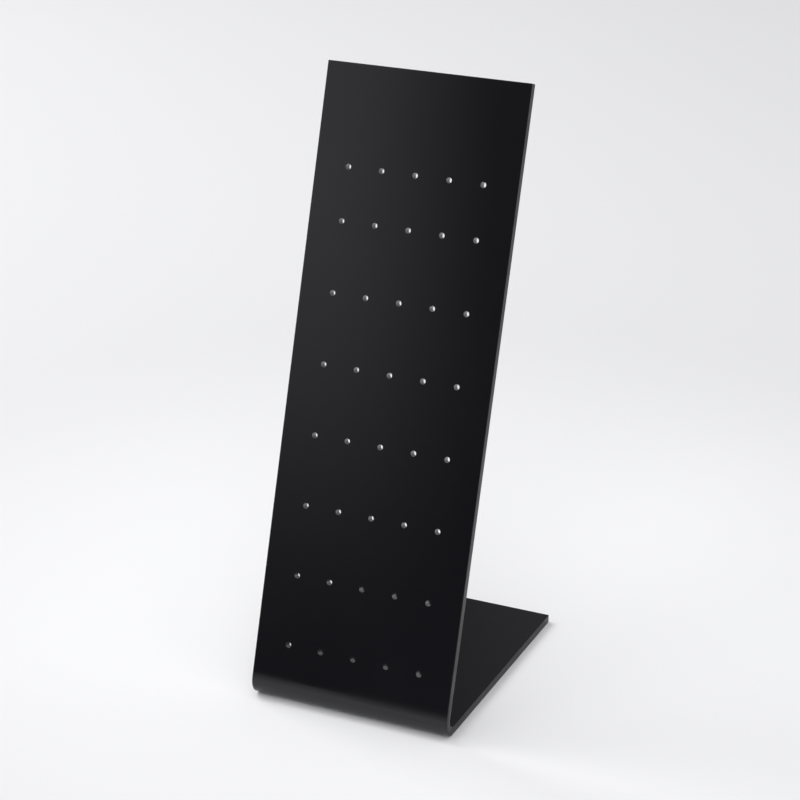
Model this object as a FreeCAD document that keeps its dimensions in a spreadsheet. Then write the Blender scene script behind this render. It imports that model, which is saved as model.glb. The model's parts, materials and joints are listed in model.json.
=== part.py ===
import FreeCAD, Part
import math
import os

import Sketcher

# Body jewelry holder: one strip of black acrylic sheet, folded once.
# The long leg leans back as the display panel and is drilled with a grid of fine holes for jewelry posts.
# The short leg lies flat behind the fold as the base.
# Frame in millimetres: +X across the sheet, +Y to the rear, +Z up.
# The origin is the middle of the footprint, on the surface that the base rests on.

os.makedirs("parts", exist_ok=True)
doc = FreeCAD.newDocument("body_jewelry_holder")


# Driving dimensions
# Every size that can be set by itself is one cell of the sheet, under its own name.
DRIVING_DIMENSIONS = {
    "sheet_width": (76.2, "across the panel and the base"),
    "sheet_thickness": (3.175, "the same on both legs and round the fold"),
    "base_depth": (101.6, "front of the fold to the rear edge of the base"),
    "face_length": (230.1, "top edge to the sharp corner where front face and underside would meet"),
    "lean_angle": (16.3, "degrees that the panel leans back from upright"),
    "inner_fold_radius": (3.1, "inside of the fold"),
    "edge_radius": (0.25, "softening that polishing leaves along the cut edges"),
    "hole_diameter": (2.0, "easy over a 1.6 mm jewelry post"),
    "least_hole_margin": (8.0, "least distance from a hole's centre to a side edge or to the fold"),
    "column_pitch": (12.7, "between neighbouring holes of a row"),
    "top_margin": (35.9, "top edge to the first row"),
    "first_row_gap": (19.05, "first row to the second"),
    "row_pitch": (25.4, "between rows, from the second down"),
}

sizes = doc.addObject("Spreadsheet::Sheet", "Sizes")
for cell_row, (alias, (value, meaning)) in enumerate(DRIVING_DIMENSIONS.items(), start=1):
    sizes.set(f"A{cell_row}", alias)
    sizes.set(f"B{cell_row}", str(value))
    sizes.set(f"C{cell_row}", meaning)
    sizes.setAlias(f"B{cell_row}", alias)
doc.recompute()


# Sizes that follow from the driving ones, as expressions on the sheet
OUTER_RADIUS = "(Sizes.inner_fold_radius + Sizes.sheet_thickness)"
CORNER_SETBACK = f"({OUTER_RADIUS} * tan((45 + Sizes.lean_angle / 2) * 1 deg))"
FOLD_CENTRE_FORWARD = f"(Sizes.base_depth / 2 - {OUTER_RADIUS})"
CORNER_FORWARD = f"({FOLD_CENTRE_FORWARD} + {CORNER_SETBACK})"
ROOM_ACROSS = "(Sizes.sheet_width - 2 * Sizes.least_hole_margin)"
COLUMNS = f"(floor({ROOM_ACROSS} / Sizes.column_pitch) + 1)"
ROW_SPAN = f"(({COLUMNS} - 1) * Sizes.column_pitch)"
FIRST_ROW_UP = "(Sizes.face_length - Sizes.top_margin)"
SECOND_ROW_UP = f"({FIRST_ROW_UP} - Sizes.first_row_gap)"
ROOM_DOWN = f"({SECOND_ROW_UP} - {CORNER_SETBACK} - Sizes.least_hole_margin)"
EVEN_ROWS = f"(floor({ROOM_DOWN} / Sizes.row_pitch) + 1)"
EVEN_ROWS_SPAN = f"(({EVEN_ROWS} - 1) * Sizes.row_pitch)"


# How a constraint names the ends and the middle of an edge, and what every sketch starts with
START, END, CENTRE = 1, 2, 3
HORIZONTAL_AXIS, SKETCH_ORIGIN = -1, (-1, 1)


def driven(alias):
    """A driving dimension's number, for drawing a sketch roughly right before its dimensions drive it."""
    return DRIVING_DIMENSIONS[alias][0]


def origin_plane(body, role):
    """The body's own origin plane with this role."""
    return next(item for item in body.Origin.OriginFeatures if item.Role == role)


def tie(sketch, *constraint):
    """Add a geometric constraint, such as a tangency, to a sketch."""
    sketch.addConstraint(Sketcher.Constraint(*constraint))


def dimension(sketch, name, expression, *constraint):
    """Add a dimension to a sketch, with a name of its own, driven by an expression."""
    sketch.addConstraint(Sketcher.Constraint(*constraint))
    sketch.renameConstraint(sketch.ConstraintCount - 1, name)
    sketch.setExpression(f"Constraints.{name}", expression)


def draw_profile(sketch):
    """The section of the folded sheet, seen from its side, as one closed outline with the rear to the right."""
    lean = math.radians(driven("lean_angle"))
    up_panel = FreeCAD.Vector(math.sin(lean), math.cos(lean), 0)
    out_of_panel = FreeCAD.Vector(-math.cos(lean), math.sin(lean), 0)
    thickness = driven("sheet_thickness")
    outer_radius = driven("inner_fold_radius") + thickness
    panel_flat = driven("face_length") - outer_radius * math.tan(math.radians(45) + lean / 2)
    rear = driven("base_depth") / 2
    fold_centre = FreeCAD.Vector(outer_radius - rear, outer_radius, 0)
    front_foot = fold_centre + out_of_panel * outer_radius
    back_foot = front_foot - out_of_panel * thickness
    front_top = front_foot + up_panel * panel_flat
    back_top = back_foot + up_panel * panel_flat
    underside_foot = FreeCAD.Vector(fold_centre.x, 0, 0)
    inside_foot = FreeCAD.Vector(fold_centre.x, thickness, 0)
    rear_bottom = FreeCAD.Vector(rear, 0, 0)
    rear_top = FreeCAD.Vector(rear, thickness, 0)
    sharp_corner = FreeCAD.Vector(front_foot.x - front_foot.y * math.tan(lean), 0, 0)

    def straight(start, end):
        return sketch.addGeometry(Part.LineSegment(start, end), False)

    def round_fold(radius):
        circle = Part.Circle(fold_centre, FreeCAD.Vector(0, 0, 1), radius)
        return sketch.addGeometry(Part.ArcOfCircle(circle, math.pi - lean, 1.5 * math.pi), False)

    underside = straight(rear_bottom, underside_foot)
    outer_fold = round_fold(outer_radius)
    front = straight(front_foot, front_top)
    top_edge = straight(front_top, back_top)
    back = straight(back_top, back_foot)
    inner_fold = round_fold(outer_radius - thickness)
    base_top = straight(inside_foot, rear_top)
    rear_edge = straight(rear_top, rear_bottom)
    corner = sketch.addGeometry(Part.Point(sharp_corner), True)

    tie(sketch, "Tangent", underside, END, outer_fold, END)
    tie(sketch, "Tangent", outer_fold, START, front, START)
    tie(sketch, "Coincident", front, END, top_edge, START)
    tie(sketch, "Coincident", top_edge, END, back, START)
    tie(sketch, "Tangent", back, END, inner_fold, START)
    tie(sketch, "Tangent", inner_fold, END, base_top, START)
    tie(sketch, "Coincident", base_top, END, rear_edge, START)
    tie(sketch, "Coincident", rear_edge, END, underside, START)
    tie(sketch, "Coincident", outer_fold, CENTRE, inner_fold, CENTRE)
    tie(sketch, "Perpendicular", front, top_edge)
    tie(sketch, "Parallel", front, back)
    tie(sketch, "PointOnObject", underside, START, HORIZONTAL_AXIS)
    tie(sketch, "Horizontal", underside)
    tie(sketch, "Horizontal", base_top)
    tie(sketch, "Vertical", rear_edge)
    tie(sketch, "PointOnObject", corner, START, front)
    tie(sketch, "PointOnObject", corner, START, HORIZONTAL_AXIS)

    dimension(sketch, "thickness", "Sizes.sheet_thickness * 1 mm",
              "DistanceY", rear_edge, END, rear_edge, START, thickness)
    dimension(sketch, "inner_radius", "Sizes.inner_fold_radius * 1 mm",
              "Radius", inner_fold, outer_radius - thickness)
    dimension(sketch, "slope", "(90 - Sizes.lean_angle) * 1 deg",
              "Angle", front, math.pi / 2 - lean)
    dimension(sketch, "face_length", "Sizes.face_length * 1 mm",
              "Distance", corner, START, front, END, driven("face_length"))
    dimension(sketch, "rear", "Sizes.base_depth / 2 * 1 mm",
              "DistanceX", *SKETCH_ORIGIN, underside, START, rear)
    dimension(sketch, "fold_centre", f"{FOLD_CENTRE_FORWARD} * 1 mm",
              "DistanceX", outer_fold, CENTRE, *SKETCH_ORIGIN, rear - outer_radius)


def lay_on_panel(sketch, body):
    """Attach a sketch to the panel's front face, with its origin at the foot of the face, X across and Y up it."""
    sketch.AttachmentSupport = [(origin_plane(body, "XZ_Plane"), "")]
    sketch.MapMode = "FlatFace"
    leaning_back = FreeCAD.Rotation(FreeCAD.Vector(-1, 0, 0), driven("lean_angle"))
    sketch.AttachmentOffset = FreeCAD.Placement(FreeCAD.Vector(), leaning_back)
    sketch.setExpression("AttachmentOffset.Base.z", f"{CORNER_FORWARD} * 1 mm")
    sketch.setExpression("AttachmentOffset.Rotation.Angle", "Sizes.lean_angle * 1 deg")


def drill(body, name, height_up_panel):
    """Drill the left hole of a row straight through the panel, this far up its front face."""
    sketch = body.newObject("Sketcher::SketchObject", f"{name}Centre")
    lay_on_panel(sketch, body)
    radius = driven("hole_diameter") / 2
    left = FreeCAD.Vector(-driven("sheet_width") / 3, driven("face_length") / 2, 0)
    rim = sketch.addGeometry(Part.Circle(left, FreeCAD.Vector(0, 0, 1), radius), False)
    dimension(sketch, "diameter", "Sizes.hole_diameter * 1 mm", "Diameter", rim, 2 * radius)
    dimension(sketch, "left_of_middle", f"{ROW_SPAN} / 2 * 1 mm",
              "DistanceX", rim, CENTRE, *SKETCH_ORIGIN, -left.x)
    dimension(sketch, "up_panel", f"{height_up_panel} * 1 mm",
              "DistanceY", *SKETCH_ORIGIN, rim, CENTRE, left.y)

    hole = body.newObject("PartDesign::Pocket", name)
    hole.Profile = sketch
    hole.Type = "Length"
    # The drill runs out behind the panel by one thickness, well short of the base.
    hole.setExpression("Length", "2 * Sizes.sheet_thickness * 1 mm")
    hole.Reversed = False
    return sketch, hole


def repeat_across(pattern, sketch):
    """Set a pattern's first direction to make a whole row from its left hole."""
    pattern.Direction = (sketch, ["H_Axis"])
    pattern.Mode = "Extent"
    pattern.setExpression("Length", f"{ROW_SPAN} * 1 mm")
    pattern.setExpression("Occurrences", COLUMNS)


def cut_edges(shape):
    """Names of the edges that the saw left: all but the seams where a flat leg runs smoothly into the fold."""
    folded = [face for face in shape.Faces if isinstance(face.Surface, Part.Cylinder)]
    seams = [edge for face in folded for edge in face.Edges if isinstance(edge.Curve, Part.Line)]
    return [
        f"Edge{number}"
        for number, edge in enumerate(shape.Edges, start=1)
        if not any(edge.isSame(seam) for seam in seams)
    ]


# Folded sheet: the side profile carried across the full width
# One section serves both legs, because heat bending keeps the sheet's thickness through the fold.
body = doc.addObject("PartDesign::Body", "folded_sheet")
body.Label = "folded_sheet"
profile = body.newObject("Sketcher::SketchObject", "SideProfile")
profile.AttachmentSupport = [(origin_plane(body, "YZ_Plane"), "")]
profile.MapMode = "FlatFace"
draw_profile(profile)
blank = body.newObject("PartDesign::Pad", "SheetAcross")
blank.Profile = profile
blank.SideType = "Symmetric"
blank.setExpression("Length", "Sizes.sheet_width * 1 mm")
doc.recompute()

# Cut edges: sawn square, then polished, which leaves them slightly soft
softened = body.newObject("PartDesign::Fillet", "PolishedEdges")
softened.Base = (blank, cut_edges(blank.Shape))
softened.setExpression("Radius", "Sizes.edge_radius * 1 mm")
body.Tip = softened
doc.recompute()
undrilled_volume = body.Shape.Volume

# First row of holes: set closer to the second row than the others are to each other
first_sketch, first_hole = drill(body, "FirstRowHole", FIRST_ROW_UP)
first_row = body.newObject("PartDesign::LinearPattern", "FirstRow")
first_row.Originals = [first_hole]
repeat_across(first_row, first_sketch)
body.Tip = first_row
doc.recompute()

# Even rows: from the second row down, as many as fit above the fold
second_sketch, second_hole = drill(body, "SecondRowHole", SECOND_ROW_UP)
even_rows = body.newObject("PartDesign::LinearPattern", "EvenRows")
even_rows.Originals = [second_hole]
repeat_across(even_rows, second_sketch)
even_rows.Direction2 = (second_sketch, ["V_Axis"])
even_rows.Reversed2 = True
even_rows.Mode2 = "Extent"
even_rows.setExpression("Length2", f"{EVEN_ROWS_SPAN} * 1 mm")
even_rows.setExpression("Occurrences2", EVEN_ROWS)
body.Tip = even_rows
doc.recompute()

# Checks: nothing failed, the section is fully dimensioned, and every hole went right through
for item in doc.Objects:
    if "Invalid" in item.State or "Error" in item.State:
        raise RuntimeError(f"{item.Name} failed: {item.State}")
for sketch in (profile, first_sketch, second_sketch):
    if sketch.solve() != 0 or not sketch.FullyConstrained:
        raise RuntimeError(f"{sketch.Name} isn't fully constrained")
if body.Shape.isNull() or not body.Shape.isValid() or len(body.Shape.Solids) != 1:
    raise RuntimeError("the folded sheet isn't one valid solid")
hole_count = first_row.Occurrences + even_rows.Occurrences * even_rows.Occurrences2
one_hole = math.pi * (driven("hole_diameter") / 2) ** 2 * driven("sheet_thickness")
drilled_out = undrilled_volume - body.Shape.Volume
if abs(drilled_out / (hole_count * one_hole) - 1) > 0.001:
    raise RuntimeError(f"{hole_count} holes took away {drilled_out} cubic millimetres")

box = body.Shape.optimalBoundingBox(False)
print(f"{hole_count} holes in {even_rows.Occurrences2 + 1} rows of {first_row.Occurrences}")
print(f"box {box.XLength:.2f} x {box.YLength:.2f} x {box.ZLength:.2f} mm, from z {box.ZMin:.4f}")
print(f"volume {body.Shape.Volume:.1f} cubic millimetres, {len(body.Shape.Faces)} faces")

body.Shape.exportStep(f"parts/{body.Label}.step")
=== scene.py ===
# %% [markdown]
# # A body jewelry holder, folded from one sheet
#
# The object is a strip of glossy black acrylic, 3 mm thick and as wide as a hand, with a single heat-bent fold.
# The long leg leans back and is drilled with a grid of 2 mm holes, which hold the posts of studs and barbells.
# The short leg lies flat behind the fold as the base, so nothing needs to be glued or screwed.
#
# There is only one piece, so all the care goes into three things: a true fold, clean holes and a believable gloss.
# A black mirror has almost no colour of its own. What the eye reads as "black acrylic" is the room that it reflects,
# and that is why the light gets as much attention here as the sheet.
#
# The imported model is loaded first. It fixes every size and place, in metres, so nothing here is fitted by eye.

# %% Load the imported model
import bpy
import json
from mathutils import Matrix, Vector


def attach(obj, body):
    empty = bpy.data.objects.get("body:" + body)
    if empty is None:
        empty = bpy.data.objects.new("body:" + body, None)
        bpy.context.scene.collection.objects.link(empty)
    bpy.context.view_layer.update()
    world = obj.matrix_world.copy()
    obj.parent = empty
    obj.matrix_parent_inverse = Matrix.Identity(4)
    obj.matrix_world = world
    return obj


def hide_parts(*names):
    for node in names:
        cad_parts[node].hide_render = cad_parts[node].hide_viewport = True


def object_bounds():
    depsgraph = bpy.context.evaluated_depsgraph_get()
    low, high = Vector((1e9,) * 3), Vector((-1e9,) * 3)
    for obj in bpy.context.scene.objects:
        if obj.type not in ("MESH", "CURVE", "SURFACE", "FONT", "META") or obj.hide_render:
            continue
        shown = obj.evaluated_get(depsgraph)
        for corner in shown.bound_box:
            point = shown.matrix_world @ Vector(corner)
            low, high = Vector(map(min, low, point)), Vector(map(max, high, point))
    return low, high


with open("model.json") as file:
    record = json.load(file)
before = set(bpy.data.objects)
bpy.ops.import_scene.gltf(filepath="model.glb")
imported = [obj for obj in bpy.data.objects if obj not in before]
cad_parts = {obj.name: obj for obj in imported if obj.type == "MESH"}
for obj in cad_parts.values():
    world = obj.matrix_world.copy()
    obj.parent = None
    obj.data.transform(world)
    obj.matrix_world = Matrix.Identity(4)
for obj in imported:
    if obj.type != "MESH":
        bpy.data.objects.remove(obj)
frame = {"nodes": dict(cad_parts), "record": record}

cad_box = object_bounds()
print("the object's box in mm:", [[round(c * 1000, 2) for c in corner] for corner in cad_box])

# %% Tools that the later cells share
import json
import math

import bpy
from mathutils import Vector
from mathutils.bvhtree import BVHTree

MM = 0.001

# %% [markdown]
# ## Sizes
#
# Sheet acrylic is bought by its thickness, and a bent piece is described by its legs, its lean and its inner radius.
# The same numbers are used here. The holes aren't listed by hand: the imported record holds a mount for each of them,
# with its place, its axis and its radius, so the drilling below can't drift away from the real grid.

# %% Sizes of the folded sheet
low, high = (Vector(corner) for corner in cad_box)
sheet_width = high.x - low.x
base_depth = high.y - low.y
sheet_thickness = 3.175 * MM
face_length = 230.1 * MM
inner_fold_radius = 3.1 * MM
edge_radius = 0.25 * MM
print(f"sheet {sheet_width / MM:.2f} mm wide, base {base_depth / MM:.2f} mm deep, "
      f"panel {face_length / MM:.1f} mm up its face")

# %% Places of the holes, from the record
post_holes = [mount for mount in frame["record"]["mounts"] if mount["name"].startswith("post_hole")]
hole_axis = Vector(post_holes[0]["axis"])
hole_radius = post_holes[0]["dims"]["r_mm"] * MM
lean = math.atan2(hole_axis.z, -hole_axis.y)
print(f"{len(post_holes)} holes of {2 * hole_radius / MM:.1f} mm, panel leaning back {math.degrees(lean):.1f} degrees")


# %% [markdown]
# ## Finishes
#
# The sheet has three kinds of surface, and each gets its own material:
#
# - the **polished faces**, cast against glass, nearly a mirror, with a trace of haze and a few hairline marks;
# - the **cut edges**, sawn and then polished, which keep fine lines across the thickness and a softer gloss;
# - the **drilled walls** of the holes, which a drill leaves frosted and a little grey.
#
# All three share one effect, the fine unevenness of worked plastic, so that effect is a node group that puts out a
# roughness and a height. The shaders stay in the materials, each with its own colour and its own plain IOR.
#
# Everything reads Object coordinates, which are metres on the real thing. A feature's size can be given in
# millimetres, and it stays put when the object is turned.

# %% A helper that adds a node and fills its inputs
def add_node(tree, kind, inputs=None, **settings):
    """Add a node, set its own settings, then link or fill its inputs."""
    node = tree.nodes.new(kind)
    for name, value in settings.items():
        setattr(node, name, value)
    for key, value in (inputs or {}).items():
        socket = node.inputs[key]
        if isinstance(value, bpy.types.NodeSocket):
            tree.links.new(value, socket)
        else:
            socket.default_value = value
    return node


# %% A helper for sums in a node tree
def maths_in(tree):
    """Give back a function that adds a Math node to this tree, fills its inputs in turn and returns its output."""
    def calc(operation, *values):
        return add_node(tree, "ShaderNodeMath", dict(enumerate(values)), operation=operation).outputs[0]
    return calc


# %% The shared effect: fine unevenness of worked plastic
def worked_plastic_group():
    """Noise at two sizes: a soft haze that shifts the gloss, and fine lines drawn out along one direction."""
    group = bpy.data.node_groups.new("worked_plastic", "ShaderNodeTree")
    sockets = group.interface
    for name, kind, value in (
        ("Vector", "NodeSocketVector", None),
        ("Haze Size", "NodeSocketFloat", 0.03),
        ("Line Size", "NodeSocketFloat", 0.0004),
        ("Line Share", "NodeSocketFloat", 0.2),
        ("Smoothest", "NodeSocketFloat", 0.05),
        ("Roughest", "NodeSocketFloat", 0.15),
    ):
        socket = sockets.new_socket(name, in_out="INPUT", socket_type=kind)
        if value is not None:
            socket.default_value = value
    sockets.new_socket("Roughness", in_out="OUTPUT", socket_type="NodeSocketFloat")
    sockets.new_socket("Height", in_out="OUTPUT", socket_type="NodeSocketFloat")

    calc = maths_in(group)
    given = add_node(group, "NodeGroupInput").outputs
    haze = add_node(group, "ShaderNodeTexNoise", {
        "Vector": given["Vector"], "Scale": calc("DIVIDE", 1.0, given["Haze Size"]), "Detail": 3.0, "Roughness": 0.55,
    })
    drawn_out = add_node(group, "ShaderNodeMapping", {"Vector": given["Vector"], "Scale": (0.03, 1.0, 1.0)})
    lines = add_node(group, "ShaderNodeTexNoise", {
        "Vector": drawn_out.outputs[0], "Scale": calc("DIVIDE", 1.0, given["Line Size"]),
        "Detail": 2.0, "Roughness": 0.6,
    })
    height = add_node(group, "ShaderNodeMix", {
        "Factor": given["Line Share"], "A": haze.outputs["Fac"], "B": lines.outputs["Fac"],
    }, data_type="FLOAT")
    roughness = add_node(group, "ShaderNodeMapRange", {
        "Value": height.outputs[0], "From Min": 0.35, "From Max": 0.7,
        "To Min": given["Smoothest"], "To Max": given["Roughest"],
    })
    add_node(group, "NodeGroupOutput", {"Roughness": roughness.outputs[0], "Height": height.outputs[0]})
    return group


worked_plastic = worked_plastic_group()


# %% One recipe for the three finishes
def black_acrylic(name, dark, light, smoothest, roughest, haze_size, line_size, line_share, bump, ior):
    """Black acrylic whose colour runs between two near-blacks and whose gloss runs between two roughnesses."""
    material = bpy.data.materials.new(name)
    material.use_nodes = True
    tree = material.node_tree
    shader = tree.nodes["Principled BSDF"]
    shader.inputs["IOR"].default_value = ior
    place = add_node(tree, "ShaderNodeTexCoord")
    worked = add_node(tree, "ShaderNodeGroup", node_tree=worked_plastic)
    tree.links.new(place.outputs["Object"], worked.inputs["Vector"])
    for key, value in (
        ("Haze Size", haze_size), ("Line Size", line_size), ("Line Share", line_share),
        ("Smoothest", smoothest), ("Roughest", roughest),
    ):
        worked.inputs[key].default_value = value
    colour = add_node(tree, "ShaderNodeMix", {
        "Factor": worked.outputs["Height"], "A": (*dark, 1.0), "B": (*light, 1.0),
    }, data_type="RGBA")
    relief = add_node(tree, "ShaderNodeBump", {
        "Height": worked.outputs["Height"], "Strength": 1.0, "Distance": bump,
    })
    tree.links.new(colour.outputs["Result"], shader.inputs["Base Color"])
    tree.links.new(worked.outputs["Roughness"], shader.inputs["Roughness"])
    tree.links.new(relief.outputs[0], shader.inputs["Normal"])
    print(f"{name}: roughness {smoothest} to {roughest}, haze {haze_size / MM:.1f} mm, relief {bump / MM:.5f} mm")
    return material


# %% The three finishes
polished_face = black_acrylic(
    "polished_face", dark=(0.0014, 0.0012, 0.0029), light=(0.0026, 0.0023, 0.0046),
    smoothest=0.04, roughest=0.10, haze_size=45 * MM, line_size=0.5 * MM, line_share=0.12, bump=0.0008 * MM, ior=1.49,
)
cut_edge = black_acrylic(
    "cut_edge", dark=(0.006, 0.006, 0.007), light=(0.014, 0.014, 0.016),
    smoothest=0.22, roughest=0.42, haze_size=6 * MM, line_size=0.35 * MM, line_share=0.6, bump=0.004 * MM, ior=1.28,
)
drilled_wall = black_acrylic(
    "drilled_wall", dark=(0.05, 0.05, 0.051), light=(0.10, 0.10, 0.102),
    smoothest=0.22, roughest=0.38, haze_size=0.8 * MM, line_size=0.15 * MM, line_share=0.5, bump=0.002 * MM, ior=1.8,
)

# %% [markdown]
# ## The folded sheet
#
# On the real thing a flat strip is heated along one line and bent over a jig, so every section across it is the same.
# That is a rule, and a rule suits Geometry Nodes: draw the middle line of the sheet, round its corner, and sweep a flat
# rectangle along it. A change to the lean or the radius then redraws the whole piece. Modelling a box and bending it
# would also work, but the fold's radius would only be roughly right.
#
# The corner of the middle line isn't a free choice. It is worked out from the sharp corner where the front face and
# the underside would meet, half a thickness inside both.
#
# Heat spreads a little to both sides of the line, so the legs start to turn just before the fold does. It is less than
# a degree, but a mirror shows it: the bright band along the fold fades in instead of starting at a hard line. The
# middle line therefore has five points, its two ends, the corner and one on each leg where that slow turn starts, and
# each inner point is rounded with a radius of its own.

# %% Helpers for Geometry Nodes
def new_tree(name, sizes):
    """A geometry tree with named inputs. Returns the tree and its input sockets."""
    tree = bpy.data.node_groups.new(name, "GeometryNodeTree")
    tree.interface.new_socket("Geometry", in_out="INPUT", socket_type="NodeSocketGeometry")
    for size, kind in sizes.items():
        tree.interface.new_socket(size, in_out="INPUT", socket_type=f"NodeSocket{kind}")
    tree.interface.new_socket("Geometry", in_out="OUTPUT", socket_type="NodeSocketGeometry")
    return tree, add_node(tree, "NodeGroupInput").outputs


def use_tree(target, tree, values):
    """Add the tree to an object as a modifier and give each named input its value."""
    modifier = target.modifiers.new(tree.name, "NODES")
    modifier.node_group = tree
    for item in tree.interface.items_tree:
        if item.in_out == "INPUT" and item.name in values:
            modifier[item.identifier] = values[item.name]
    return modifier


# %% The tree that sweeps the sheet along its bent middle line
def folded_sheet_tree():
    tree, size = new_tree("folded_sheet_tree", {
        "Width": "Float", "Thickness": "Float", "Base Depth": "Float", "Face Length": "Float",
        "Lean": "Float", "Inner Radius": "Float", "Fold Steps": "Int",
        "Lead In": "Float", "Lead Turn": "Float", "Lead Radius": "Float",
        "Polished Face": "Material", "Cut Edge": "Material",
    })

    calc = maths_in(tree)

    def point(y, z):
        return add_node(tree, "ShaderNodeCombineXYZ", {"X": 0.0, "Y": y, "Z": z}).outputs[0]

    half = calc("MULTIPLY", size["Thickness"], 0.5)
    sine, cosine = calc("SINE", size["Lean"]), calc("COSINE", size["Lean"])
    outer = calc("ADD", size["Inner Radius"], size["Thickness"])
    half_turn = calc("MULTIPLY_ADD", size["Lean"], 0.5, math.pi / 4)
    rear = calc("MULTIPLY", size["Base Depth"], 0.5)
    fold_centre = calc("SUBTRACT", outer, rear)
    sharp_corner = calc("SUBTRACT", fold_centre, calc("MULTIPLY", outer, calc("TANGENT", half_turn)))
    inward = calc("DIVIDE", calc("MULTIPLY", half, calc("ADD", sine, 1.0)), cosine)
    corner_y = calc("ADD", sharp_corner, inward)
    top_back = calc("ADD", calc("MULTIPLY", size["Face Length"], sine), calc("MULTIPLY", half, cosine))
    top_up = calc("SUBTRACT", calc("MULTIPLY", size["Face Length"], cosine), calc("MULTIPLY", half, sine))
    top = point(calc("ADD", sharp_corner, top_back), top_up)
    end = point(rear, half)

    # Both legs turn in a little before the fold, which moves the corner inwards along the line that halves it.
    half_gap = calc("MULTIPLY", calc("SUBTRACT", math.pi / 2, size["Lean"]), 0.5)
    spread = calc("MULTIPLY", calc("COSINE", half_gap), calc("SINE", calc("ADD", half_gap, size["Lead Turn"])))
    moved = calc("DIVIDE", calc("MULTIPLY", size["Lead In"], calc("SINE", size["Lead Turn"])),
                 calc("MULTIPLY", spread, 2.0))
    before = point(calc("ADD", corner_y, calc("MULTIPLY", size["Lead In"], sine)),
                   calc("ADD", half, calc("MULTIPLY", size["Lead In"], cosine)))
    corner = point(calc("ADD", corner_y, calc("MULTIPLY", moved, calc("ADD", sine, 1.0))),
                   calc("ADD", half, calc("MULTIPLY", moved, cosine)))
    after = point(calc("ADD", corner_y, size["Lead In"]), half)

    line = add_node(tree, "GeometryNodeCurvePrimitiveLine")
    five_points = add_node(tree, "GeometryNodeResampleCurve", {"Curve": line.outputs[0], "Count": 5})
    number = add_node(tree, "GeometryNodeInputIndex").outputs[0]
    places = add_node(tree, "GeometryNodeIndexSwitch", data_type="VECTOR")
    for _ in range(3):
        places.index_switch_items.new()
    tree.links.new(number, places.inputs["Index"])
    for socket, place in zip(places.inputs[1:], (top, before, corner, after, end)):
        tree.links.new(place, socket)
    bent_line = add_node(tree, "GeometryNodeSetPosition", {
        "Geometry": five_points.outputs[0], "Position": places.outputs[0],
    })
    middle_radius = calc("ADD", size["Inner Radius"], half)
    corner_number = 2
    is_fold = add_node(tree, "FunctionNodeCompare", {2: number, 3: corner_number}, data_type="INT", operation="EQUAL")
    radius = add_node(tree, "GeometryNodeSwitch", {
        "Switch": is_fold.outputs[0], "False": size["Lead Radius"], "True": middle_radius,
    }, input_type="FLOAT")
    rounded = add_node(tree, "GeometryNodeFilletCurve", {
        "Curve": bent_line.outputs[0], "Count": size["Fold Steps"], "Radius": radius.outputs[0],
    }, mode="POLY")
    strip = add_node(tree, "GeometryNodeCurvePrimitiveQuadrilateral", {
        "Width": size["Width"], "Height": size["Thickness"],
    })
    swept = add_node(tree, "GeometryNodeCurveToMesh", {
        "Curve": rounded.outputs[0], "Profile Curve": strip.outputs[0], "Fill Caps": True,
    })

    # The cut edges are the two sides and the two ends: whatever doesn't face the way the flat legs and fold do.
    facing = add_node(tree, "ShaderNodeSeparateXYZ", {0: add_node(tree, "GeometryNodeInputNormal").outputs[0]})
    place = add_node(tree, "ShaderNodeSeparateXYZ", {0: add_node(tree, "GeometryNodeInputPosition").outputs[0]})
    sideways = calc("GREATER_THAN", calc("ABSOLUTE", facing.outputs["X"]), 0.5)
    at_rear = calc("GREATER_THAN", facing.outputs["Y"], 0.99)
    at_top = calc("MULTIPLY", calc("GREATER_THAN", facing.outputs["Z"], 0.5),
                  calc("GREATER_THAN", place.outputs["Z"], calc("MULTIPLY", size["Face Length"], 0.5)))
    is_cut = calc("MAXIMUM", sideways, calc("MAXIMUM", at_rear, at_top))

    whole = add_node(tree, "GeometryNodeRealizeInstances", {0: swept.outputs[0]})
    faces = add_node(tree, "GeometryNodeSetMaterial", {"Geometry": whole.outputs[0], "Material": size["Polished Face"]})
    edges = add_node(tree, "GeometryNodeSetMaterial", {
        "Geometry": faces.outputs[0], "Selection": is_cut, "Material": size["Cut Edge"],
    })
    add_node(tree, "NodeGroupOutput", {0: edges.outputs[0]})
    return tree


# %% Sweep the sheet
fold_steps = 72
lead_in, lead_turn, lead_radius = 8.3 * MM, math.radians(0.9), 250 * MM
sheet = bpy.data.objects.new("sheet_in_the_making", bpy.data.meshes.new("sheet_in_the_making"))
bpy.context.scene.collection.objects.link(sheet)
use_tree(sheet, folded_sheet_tree(), {
    "Width": sheet_width, "Thickness": sheet_thickness, "Base Depth": base_depth, "Face Length": face_length,
    "Lean": lean, "Inner Radius": inner_fold_radius, "Fold Steps": fold_steps,
    "Lead In": lead_in, "Lead Turn": lead_turn, "Lead Radius": lead_radius,
    "Polished Face": polished_face, "Cut Edge": cut_edge,
})
print(f"the fold is drawn in {fold_steps} steps, and each leg starts to turn {lead_in / MM:.1f} mm before it")

# %% [markdown]
# Polishing takes the sharpness off every cut edge. A Bevel does that, limited to edges that turn by more than 60
# degrees, so that it finds the sawn edges and leaves the many small steps of the fold alone.

# %% Soften the cut edges
softening = sheet.modifiers.new("softened_edges", "BEVEL")
softening.width = edge_radius
softening.segments = 3
softening.limit_method = "ANGLE"
softening.angle_limit = math.radians(60)
softening.miter_outer = "MITER_SHARP"


# %% [markdown]
# ## The holes
#
# Forty holes repeat, so they are drilled by a second tree. Its marks are points, one for each mount of the record. A
# drill is placed on every mark, turned square to the leaning panel, and all of them are cut away together.
#
# The drill is a cylinder of four rings. The two inner rings lie just inside the faces and the two outer rings are
# wider, which takes the burr off each rim: a softening of a few hundredths of a millimetre, small beside a 2 mm hole,
# that keeps the rim from looking like a cut in paper. Modelling one hole and copying it through the mesh would need
# joins in the flat face.

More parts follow.
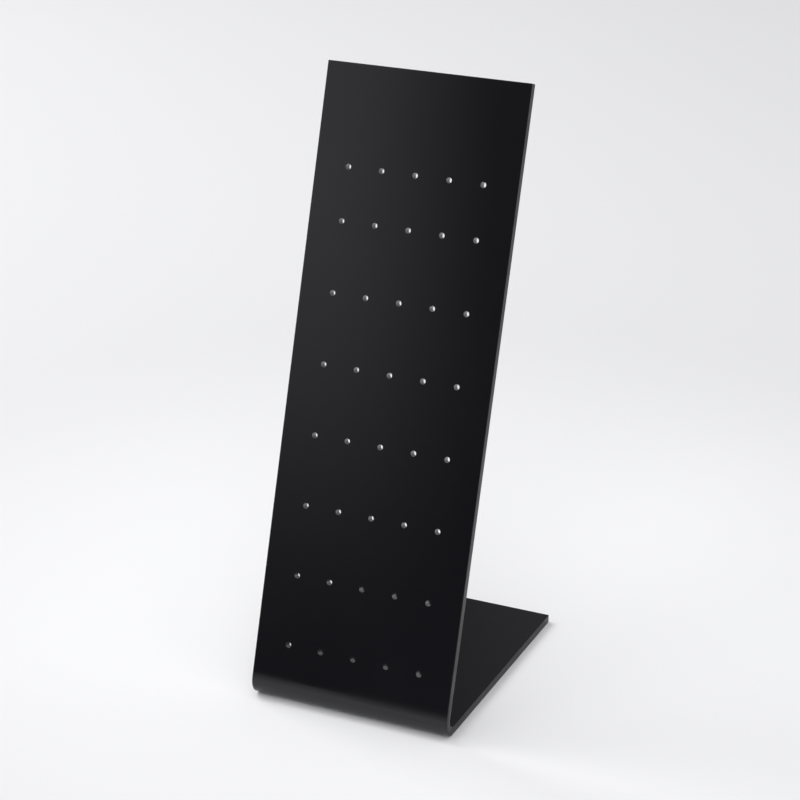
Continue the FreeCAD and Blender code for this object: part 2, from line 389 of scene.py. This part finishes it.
# %% The tree that drills the holes
def post_holes_tree():
    tree, size = new_tree("post_holes_tree", {
        "Marks": "Object", "Radius": "Float", "Thickness": "Float", "Lean": "Float", "Deburr": "Float",
        "Sides": "Int", "Drilled Wall": "Material",
    })

    calc = maths_in(tree)

    # Rings at -3, -1, 1 and 3, moved to their places: two inside the faces and two outside them.
    blank = add_node(tree, "GeometryNodeMeshCylinder", {
        "Vertices": size["Sides"], "Side Segments": 3, "Radius": 1.0, "Depth": 6.0,
    })
    place = add_node(tree, "ShaderNodeSeparateXYZ", {0: add_node(tree, "GeometryNodeInputPosition").outputs[0]})
    outside = calc("GREATER_THAN", calc("ABSOLUTE", place.outputs["Z"]), 2.0)
    half = calc("MULTIPLY", size["Thickness"], 0.5)
    widening = calc("MULTIPLY", size["Deburr"], 2.0)
    step = calc("MULTIPLY", calc("SUBTRACT", outside, 0.5), widening)
    along = calc("MULTIPLY", calc("SIGN", place.outputs["Z"]), calc("ADD", half, step))
    across = calc("ADD", size["Radius"], calc("MULTIPLY", outside, widening))
    ring = add_node(tree, "ShaderNodeCombineXYZ", {
        "X": calc("MULTIPLY", place.outputs["X"], across),
        "Y": calc("MULTIPLY", place.outputs["Y"], across),
        "Z": along,
    })
    drill = add_node(tree, "GeometryNodeSetPosition", {"Geometry": blank.outputs["Mesh"], "Position": ring.outputs[0]})
    marked = add_node(tree, "GeometryNodeStoreNamedAttribute", {
        "Geometry": drill.outputs[0], "Name": "drilled", "Value": True,
    }, data_type="BOOLEAN", domain="FACE")

    marks = add_node(tree, "GeometryNodeObjectInfo", {"Object": size["Marks"]}, transform_space="RELATIVE")
    upright = calc("SUBTRACT", math.pi / 2, size["Lean"])
    turn = add_node(tree, "ShaderNodeCombineXYZ", {"X": upright, "Y": 0.0, "Z": 0.0})
    drills = add_node(tree, "GeometryNodeInstanceOnPoints", {
        "Points": marks.outputs["Geometry"], "Instance": marked.outputs[0], "Rotation": turn.outputs[0],
    })
    solid_drills = add_node(tree, "GeometryNodeRealizeInstances", {0: drills.outputs[0]})
    cut = add_node(tree, "GeometryNodeMeshBoolean", {
        "Mesh 1": size["Geometry"], "Mesh 2": solid_drills.outputs[0],
    }, operation="DIFFERENCE", solver="EXACT")

    # Smooth shading everywhere, but sharp where the surface turns by more than 40 degrees, as at a rim.
    smooth = add_node(tree, "GeometryNodeSetShadeSmooth", {"Geometry": cut.outputs["Mesh"], "Shade Smooth": True})
    angle = add_node(tree, "GeometryNodeInputMeshEdgeAngle")
    is_sharp = calc("GREATER_THAN", angle.outputs["Unsigned Angle"], math.radians(40))
    sharp = add_node(tree, "GeometryNodeSetShadeSmooth", {
        "Geometry": smooth.outputs[0], "Selection": is_sharp, "Shade Smooth": False,
    }, domain="EDGE")
    was_drilled = add_node(tree, "GeometryNodeInputNamedAttribute", {"Name": "drilled"}, data_type="BOOLEAN")
    whole = add_node(tree, "GeometryNodeRealizeInstances", {0: sharp.outputs[0]})
    walls = add_node(tree, "GeometryNodeSetMaterial", {
        "Geometry": whole.outputs[0], "Selection": was_drilled.outputs[0], "Material": size["Drilled Wall"],
    })
    add_node(tree, "NodeGroupOutput", {0: walls.outputs[0]})
    return tree


# %% Mark the holes and drill them
deburr = 0.03 * MM
marks_mesh = bpy.data.meshes.new("drill_marks")
marks_mesh.from_pydata([mount["pos_m"] for mount in post_holes], [], [])
drill_marks = bpy.data.objects.new("drill_marks", marks_mesh)
bpy.context.scene.collection.objects.link(drill_marks)
use_tree(sheet, post_holes_tree(), {
    "Marks": drill_marks, "Radius": hole_radius, "Thickness": sheet_thickness, "Lean": lean,
    "Deburr": deburr, "Sides": 48, "Drilled Wall": drilled_wall,
})
print(f"{len(marks_mesh.vertices)} drills of {2 * hole_radius / MM:.1f} mm, rims softened by {deburr / MM:.2f} mm")

# %% [markdown]
# A mirror shows every flaw in its shading. A smooth vertex normal is the average of the faces around it, so beside a
# fold or a bevel the flat legs would seem to bulge. Weighted normals give the largest face the say: the flats stay flat
# to the eye and the fold runs into them without a line.

# %% Keep the flat legs flat to the eye
weighting = sheet.modifiers.new("flat_legs", "WEIGHTED_NORMAL")
weighting.mode = "FACE_AREA"
weighting.weight = 100
weighting.keep_sharp = True

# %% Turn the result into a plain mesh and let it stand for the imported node
depsgraph = bpy.context.evaluated_depsgraph_get()
evaluated = sheet.evaluated_get(depsgraph)
plain = bpy.data.meshes.new_from_object(evaluated, preserve_all_data_layers=True, depsgraph=depsgraph)
plain.name = "acrylic_sheet"
acrylic_sheet = bpy.data.objects.new("acrylic_sheet", plain)
bpy.context.scene.collection.objects.link(acrylic_sheet)
bpy.data.objects.remove(sheet)
bpy.data.objects.remove(drill_marks)

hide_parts("folded_sheet")
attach(acrylic_sheet, "root")
print(f"acrylic_sheet: {len(plain.vertices)} vertices, {len(plain.polygons)} faces, "
      f"slots {[slot.name for slot in plain.materials]}")

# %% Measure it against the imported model
packed_mesh = frame["nodes"]["folded_sheet"].data
packed = BVHTree.FromPolygons([v.co for v in packed_mesh.vertices], [p.vertices for p in packed_mesh.polygons])
off_surface = [packed.find_nearest(v.co)[3] for v in plain.vertices]
print(f"farthest point from the packed surface: {max(off_surface) / MM:.4f} mm")
faces_by_finish = {}
for face in plain.polygons:
    name = plain.materials[face.material_index].name
    faces_by_finish[name] = faces_by_finish.get(name, 0) + 1
print("faces by finish:", faces_by_finish)

# %% [markdown]
# ## Floor
#
# The stand is shown on a seamless pale surface. A wide plane does it: it fills the view from every side above it, it
# takes the soft contact shadow along the base, and it's what the fold and the cut edges reflect. Its colour is painted
# nearly white around the stand and a little greyer farther off, a painted pool of light that stands in for the fall-off
# of the lamp's reach, so no light has to be pushed to make it pale. A faint cloudiness keeps that painted pool from
# being a perfect ring.

# %% Floor, with a painted pool of light around the stand
reach = 60.0
# Painted pool of light: its centre, and the floor's grey at each distance from it, lighter near the stand and darker
# farther off.
painted_pool_centre = (0.015, 0.03, 0.0)
painted_pool_greys = ((0.08, 0.905), (0.38, 0.745), (1.0, 0.725))

floor_mesh = bpy.data.meshes.new("floor")
floor_corners = [(-reach, -reach, 0), (reach, -reach, 0), (reach, reach, 0), (-reach, reach, 0)]
floor_mesh.from_pydata(floor_corners, [], [(0, 1, 2, 3)])
floor = bpy.data.objects.new("floor", floor_mesh)
bpy.context.scene.collection.objects.link(floor)

paper = bpy.data.materials.new("pale_paper")
paper.use_nodes = True
tree = paper.node_tree
place = add_node(tree, "ShaderNodeTexCoord")
away = add_node(tree, "ShaderNodeVectorMath", {0: place.outputs["Object"], 1: painted_pool_centre}, operation="DISTANCE")
clouds = add_node(tree, "ShaderNodeTexNoise", {"Vector": place.outputs["Object"], "Scale": 3.0, "Detail": 2.0})
ragged = maths_in(tree)("MULTIPLY_ADD", clouds.outputs["Fac"], 0.03, away.outputs["Value"])
# This ramp paints the pool of light into the floor's own colour. It is painted light, not a change in the paper.
painted_pool_ramp = add_node(tree, "ShaderNodeValToRGB", {"Fac": ragged})
painted_pool_ramp.color_ramp.interpolation = "EASE"
painted_pool_ramp.color_ramp.elements.new(0.34)
for stop, (metres, grey) in zip(painted_pool_ramp.color_ramp.elements, painted_pool_greys):
    stop.position = metres
    stop.color = (grey, grey, grey + 0.004, 1.0)
shader = tree.nodes["Principled BSDF"]
tree.links.new(painted_pool_ramp.outputs["Color"], shader.inputs["Base Color"])
shader.inputs["Roughness"].default_value = 0.9
shader.inputs["Specular IOR Level"].default_value = 0.0
floor_mesh.materials.append(paper)
print(f"floor: {painted_pool_greys[0][1]} of white at the stand, {painted_pool_greys[-1][1]} from a metre away")

# %% [markdown]
# ## Light
#
# Two things light the stand: a large soft lamp, and the room around it, which is the world.
#
# The lamp stands to the left, almost in the plane of the leaning panel. The panel turns its thin edge to it and throws
# hardly any shadow, so what is left is the short, deep shadow beside the base.
#
# The room is what the gloss reflects. It is dim near the horizon and brighter overhead, and three areas stand out:
#
# - a **broad area to the front left**, whose soft right-hand and lower borders lie just where the panel mirrors them
#   for the camera, so the panel runs from dark grey at its top left to black at its right and at its foot;
# - a **smaller one near the camera's own direction**, which lights the walls of the holes and the floor in front of the
#   fold, and whose shadow falls behind the panel, where the camera doesn't see it;
# - a **dim one behind**, which the top of the base mirrors.
#
# A pale line along the horizon lets the floor run out into the room without a border. It stops where the panel would
# mirror it. The room is a function of direction only, so it is the same for every view.

# %% The room: brightness by azimuth and height
world = bpy.data.worlds.new("studio")
bpy.context.scene.world = world
world.use_nodes = True
tree = world.node_tree
direction = add_node(tree, "ShaderNodeSeparateXYZ", {0: add_node(tree, "ShaderNodeTexCoord").outputs["Generated"]})


room_calc = maths_in(tree)


def ramp(value, start, stop):
    """A soft step from 0 to 1 as the value, in degrees, goes from start to stop."""
    return add_node(tree, "ShaderNodeMapRange", {
        "Value": value, "From Min": start, "From Max": stop,
    }, interpolation_type="SMOOTHSTEP").outputs[0]


def overlap(*masks):
    """The share of the room that lies inside every one of the masks."""
    inside = masks[0]
    for mask in masks[1:]:
        inside = room_calc("MULTIPLY", inside, mask)
    return inside


# Azimuth is 0 in front of the stand and grows to its right. Height is 0 at the horizon and 90 overhead.
to_front = room_calc("MULTIPLY", direction.outputs["Y"], -1.0)
around = room_calc("DEGREES", room_calc("ARCTAN2", direction.outputs["X"], to_front))
height = room_calc("DEGREES", room_calc("ARCSINE", direction.outputs["Z"]))
sideways = room_calc("ABSOLUTE", around)
leaning_border = room_calc("ADD", around, room_calc("MULTIPLY", height, 0.19))
off_panel = room_calc("ABSOLUTE", room_calc("ADD", around, 23.0))

front_left = overlap(ramp(leaning_border, -17.9, -23.3), ramp(around, -110.0, -85.0),
                     ramp(height, 0.5, 13.5), ramp(height, 60.0, 45.0))
by_camera = overlap(ramp(around, -12.0, 8.0), ramp(around, 52.0, 32.0),
                    ramp(height, 16.0, 28.0), ramp(height, 56.0, 44.0))
behind = ramp(sideways, 155.0, 163.0)
front_half = overlap(ramp(sideways, 120.0, 60.0), ramp(height, 2.0, 20.0))
sides = overlap(ramp(around, -110.0, -60.0), ramp(around, 170.0, 125.0), ramp(height, 20.0, 34.0))
overhead = ramp(height, 38.0, 66.0)
horizon = overlap(ramp(height, 6.0, 2.0), ramp(off_panel, 16.0, 28.0))

level = 0.122
for mask, strength in (
    (front_left, 0.64), (by_camera, 2.0), (behind, 0.122), (front_half, 0.075),
    (sides, 0.45), (overhead, 0.57), (horizon, 0.46),
):
    level = room_calc("MULTIPLY_ADD", mask, strength, level)
tree.nodes["Background"].inputs["Color"].default_value = (0.985, 0.985, 1.0, 1.0)
tree.links.new(level, tree.nodes["Background"].inputs["Strength"])
print(f"the room is drawn with {len(tree.nodes)} nodes")

# %% The soft lamp at the left
lamp_data = bpy.data.lights.new("side_softbox", "AREA")
lamp_data.shape = "SQUARE"
lamp_data.size = 1.1
lamp_data.energy = 16.9
lamp = bpy.data.objects.new("side_softbox", lamp_data)
lamp.location = (-1.33, 0.31, 1.46)
lamp.rotation_euler = (-lamp.location).to_track_quat("-Z", "Y").to_euler()
bpy.context.scene.collection.objects.link(lamp)
print(f"lamp: {lamp.location.length:.2f} m away, {lamp_data.size} m wide")

# %% [markdown]
# ## Camera
#
# The camera stands where the photograph was taken from: a little above the stand, to its right, with a long lens. Its
# place was worked out from the outline and the forty holes, whose real places are known, and it needs no shift.

# %% Camera
camera_data = bpy.data.cameras.new("camera")
camera_data.sensor_width = 36.0
camera_data.lens = 102.666
camera_data.clip_end = 200.0
camera = bpy.data.objects.new("camera", camera_data)
camera.location = (0.302016, -0.695263, 0.403625)
camera.rotation_euler = [math.radians(angle) for angle in (68.41667, -0.78286, 24.04732)]
bpy.context.scene.collection.objects.link(camera)
bpy.context.scene.camera = camera
print(f"camera: {camera.location.length:.2f} m away, lens {camera_data.lens} mm")

bpy.context.scene.view_settings.view_transform = "Standard"
